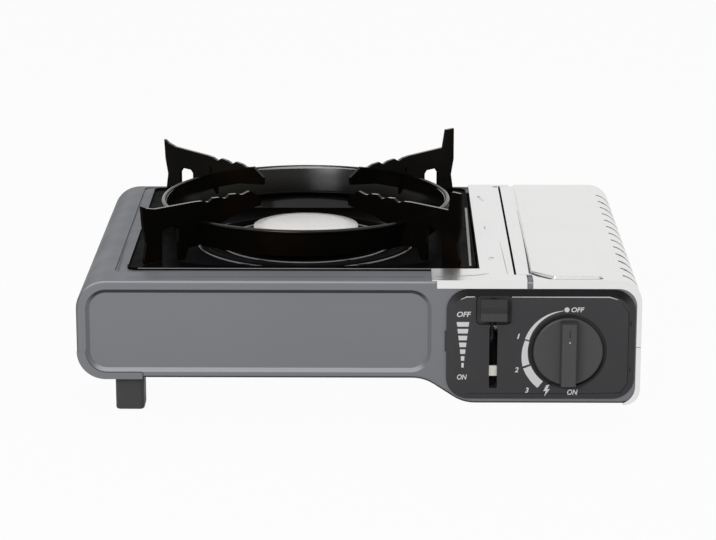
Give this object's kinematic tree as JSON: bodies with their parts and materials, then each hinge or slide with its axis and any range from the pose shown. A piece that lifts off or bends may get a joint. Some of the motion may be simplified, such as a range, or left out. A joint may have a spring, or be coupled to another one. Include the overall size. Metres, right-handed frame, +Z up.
{
  "type": "butane cassette stove",
  "caption": "Single burner table stove for a gas cartridge, with a lift-off winged pan support, drip tray, hinged cartridge lid, sliding lock lever and control knob.",
  "frame": {"origin": "on the table under the middle of the overall outline", "axes": "+X to the right seen from the knob side, +Y to the rear, +Z up"},
  "size_m": [0.344, 0.27, 0.1307],
  "materials": {
    "shell_paint": "satin",
    "pan_steel": "satin",
    "cover_steel": "satin",
    "fascia_plastic": "matte",
    "knob_plastic": "satin",
    "lever_plastic": "satin",
    "plated_steel": "satin",
    "screw_steel": "polished",
    "tray_enamel": "gloss",
    "support_enamel": "satin",
    "cap_aluminium": "brushed",
    "head_aluminium": "cast",
    "gas_brass": "satin",
    "pipe_copper": "satin",
    "zinc_casting": "cast",
    "seal_rubber": "matte",
    "lead_rubber": "matte",
    "insulator_ceramic": "glazed",
    "igniter_plastic": "satin",
    "foot_rubber": "matte"
  },
  "bodies": {
    "frame": {"outer_shell": "shell_paint", "base_pan": "pan_steel", "side_panel": "cover_steel", "bridge_cover": "cover_steel", "heat_shield": "pan_steel", "lid_hinge_pins": "plated_steel", "control_panel": "fascia_plastic", "panel_screws": "screw_steel", "valve_body": "zinc_casting", "regulator_body": "zinc_casting", "diaphragm_cover": "plated_steel", "cartridge_socket": "zinc_casting", "inlet_seal": "seal_rubber", "regulator_bracket": "pan_steel", "regulator_screws": "screw_steel", "lever_stop": "plated_steel", "gas_pipe": "pipe_copper", "pipe_nuts": "gas_brass", "injector": "gas_brass", "mixing_tube": "pan_steel", "burner_head": "head_aluminium", "burner_cap": "cap_aluminium", "burner_bracket": "pan_steel", "burner_screws": "screw_steel", "electrode_insulator": "insulator_ceramic", "spark_electrode": "plated_steel", "electrode_clip": "plated_steel", "piezo_igniter": "igniter_plastic", "ignition_lead": "lead_rubber", "front_left_foot": "foot_rubber", "rear_left_foot": "foot_rubber", "front_right_foot": "foot_rubber", "rear_right_foot": "foot_rubber", "foot_screws": "screw_steel"},
    "knob": {"control_knob": "knob_plastic", "valve_spindle": "gas_brass"},
    "lock_lever": {"lock_lever_button": "lever_plastic", "lock_lever_plate": "lever_plastic"},
    "carriage": {"cartridge_carriage": "pan_steel", "carriage_pin": "plated_steel"},
    "cartridge_lid": {"lid": "cover_steel"},
    "tray": {"drip_tray": "tray_enamel"},
    "pan_support": {"support_ring": "support_enamel", "rear_right_wing": "support_enamel", "rear_left_wing": "support_enamel", "front_left_wing": "support_enamel", "front_right_wing": "support_enamel", "wing_studs": "support_enamel"}
  },
  "joints": [
    {"name": "knob_turn", "type": "hinge", "parent": "frame", "child": "knob", "pos_m": [0.1275, -0.1251, 0.042], "axis": [0, -1, 0], "range_deg": [0, 155]},
    {"name": "lever_slide", "type": "slide", "parent": "frame", "child": "lock_lever", "axis": [0, 0, -1], "range_m": [0, 0.034]},
    {"name": "carriage_slide", "type": "slide", "parent": "frame", "child": "carriage", "axis": [0, -1, 0], "range_m": [0, 0.008]},
    {"name": "lid_hinge", "type": "hinge", "parent": "frame", "child": "cartridge_lid", "pos_m": [0.1002, 0, 0.0808], "axis": [0, -1, 0], "range_deg": [0, 90]},
    {"name": "tray_lift", "type": "slide", "parent": "frame", "child": "tray", "axis": [0, 0, 1], "range_m": [0, 0.06]},
    {"name": "support_lift", "type": "slide", "parent": "tray", "child": "pan_support", "axis": [0, 0, 1], "range_m": [0, 0.08]}
  ],
  "couplings": [
    {"joint": "carriage_slide", "follows": "lever_slide", "ratio": 0.23529}
  ]
}
